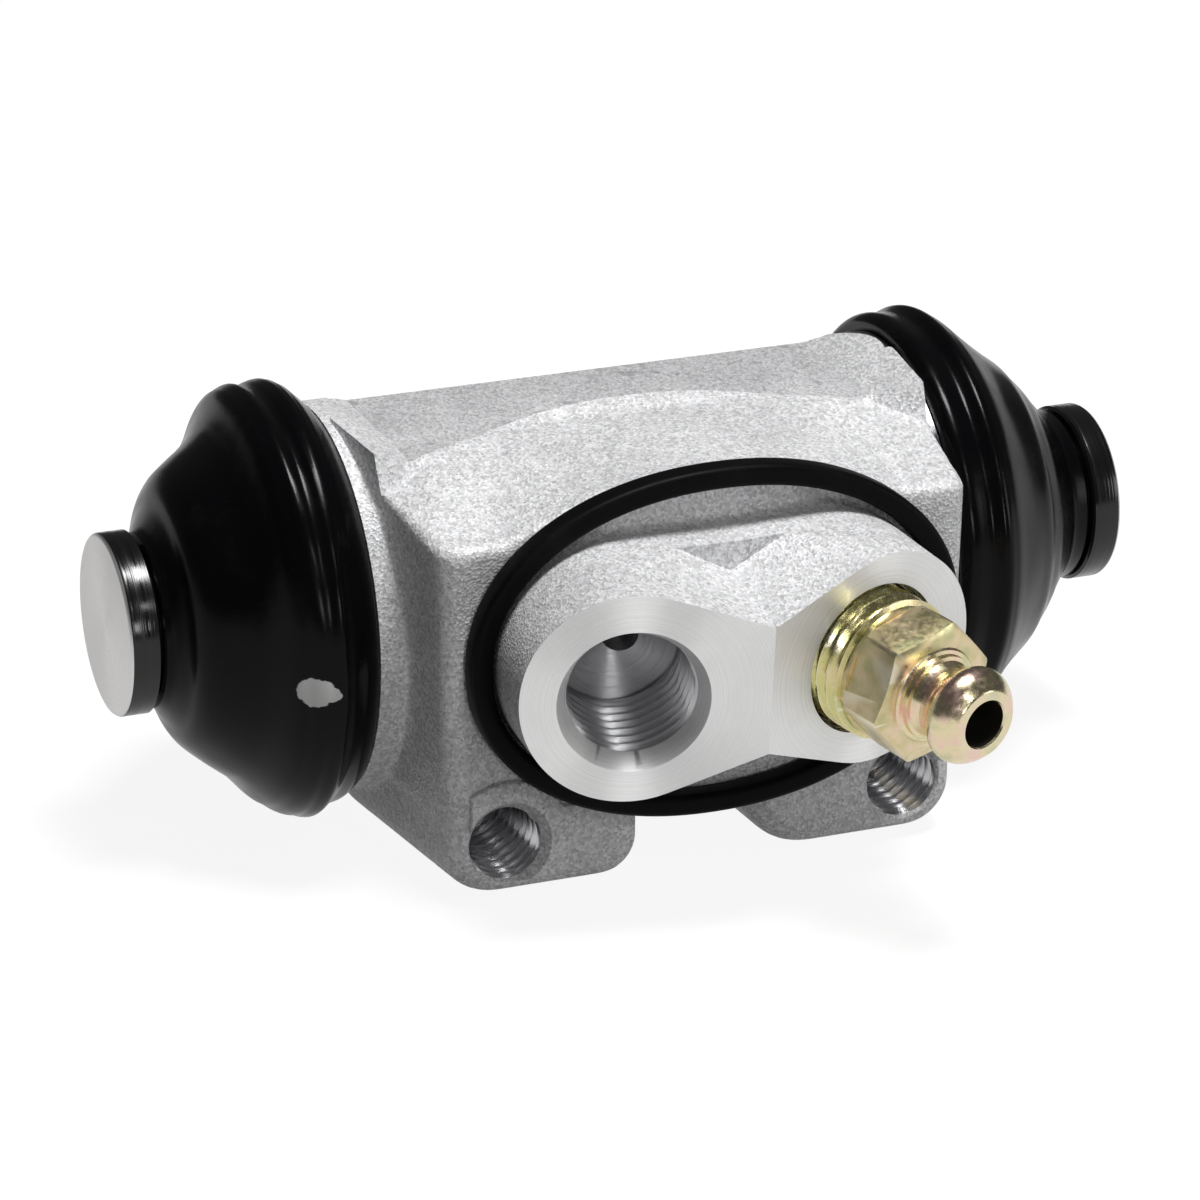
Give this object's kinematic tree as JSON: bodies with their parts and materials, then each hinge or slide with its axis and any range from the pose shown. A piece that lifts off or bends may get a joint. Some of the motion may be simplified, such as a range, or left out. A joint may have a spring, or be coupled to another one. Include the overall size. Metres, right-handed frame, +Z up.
{
  "type": "wheel cylinder",
  "caption": "Cast drum brake wheel cylinder with opposed pistons, dust boots, inlet port, bleeder screw, mounting ears and an oval seal round its boss.",
  "frame": {"origin": "middle of the bore's axis, half-way between the housing's two ends", "axes": "+X along the bore towards the right piston, -Y out of the mounting face through the backing plate, +Z up from the ears to the flat top"},
  "size_m": [0.073, 0.0528, 0.0308],
  "materials": {
    "cast_aluminium": "sand-cast grey with bright machined port faces, bore and holes",
    "piston_black": "black anodised, turned",
    "cup_rubber": "smooth black rubber",
    "expander_steel": "pressed steel",
    "spring_steel": "drawn wire",
    "boot_rubber": "glossy black moulded rubber",
    "yellow_zinc": "yellow chromate zinc plate",
    "seal_rubber": "matte black rubber"
  },
  "bodies": {
    "body": {"housing": "cast_aluminium", "mounting_seal": "seal_rubber", "left_boot": "boot_rubber", "right_boot": "boot_rubber", "return_spring": "spring_steel"},
    "left_push": {"left_piston": "piston_black", "left_cup": "cup_rubber", "left_expander": "expander_steel"},
    "right_push": {"right_piston": "piston_black", "right_cup": "cup_rubber", "right_expander": "expander_steel"},
    "bleeder": {"bleeder_screw": "yellow_zinc"}
  },
  "joints": [
    {"name": "left_piston_slide", "type": "slide", "parent": "body", "child": "left_push", "axis": [-1, 0, 0], "range_m": [-0.004, 0.005], "deforming": ["left_boot", "return_spring"]},
    {"name": "right_piston_slide", "type": "slide", "parent": "body", "child": "right_push", "axis": [1, 0, 0], "range_m": [-0.004, 0.005], "deforming": ["right_boot", "return_spring"]},
    {"name": "bleeder_turn", "type": "hinge", "parent": "body", "child": "bleeder", "pos_m": [0.00821, -0.0269, 0.00134], "axis": [0.2909, -0.9516, -0.0993], "range_deg": [0, 270]}
  ]
}
